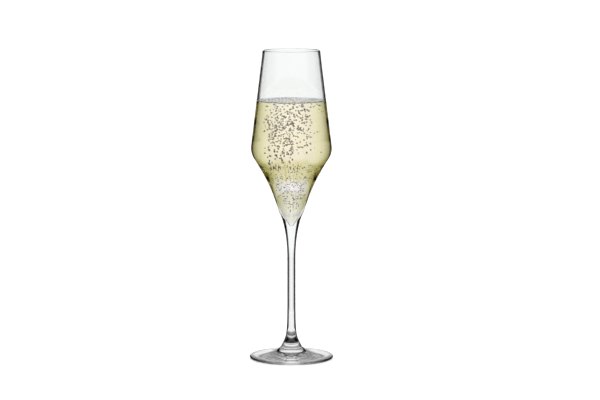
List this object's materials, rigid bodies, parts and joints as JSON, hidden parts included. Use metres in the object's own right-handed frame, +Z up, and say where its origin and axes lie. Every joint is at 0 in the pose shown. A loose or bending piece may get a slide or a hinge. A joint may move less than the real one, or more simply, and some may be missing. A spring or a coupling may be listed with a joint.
{
  "type": "champagne flute",
  "caption": "Tall stemmed flute with a pointed bowl, a sharp shoulder and a round foot, partly filled with sparkling wine under a thin collar of foam.",
  "frame": {"origin": "centre of the foot, at the level of the table it stands on", "axes": "+Z up along the stem's axis; the glass is round, so X and Y are alike"},
  "size_m": [0.065, 0.065, 0.24],
  "materials": {
    "glass": "clear, colourless, fire-polished",
    "wine": "clear pale straw-yellow liquid with rising bubbles",
    "foam": "fine white foam of small bubbles"
  },
  "bodies": {
    "root": {"bowl": "glass", "stem": "glass", "foot": "glass", "wine": "wine", "foam": "foam"}
  },
  "joints": []
}
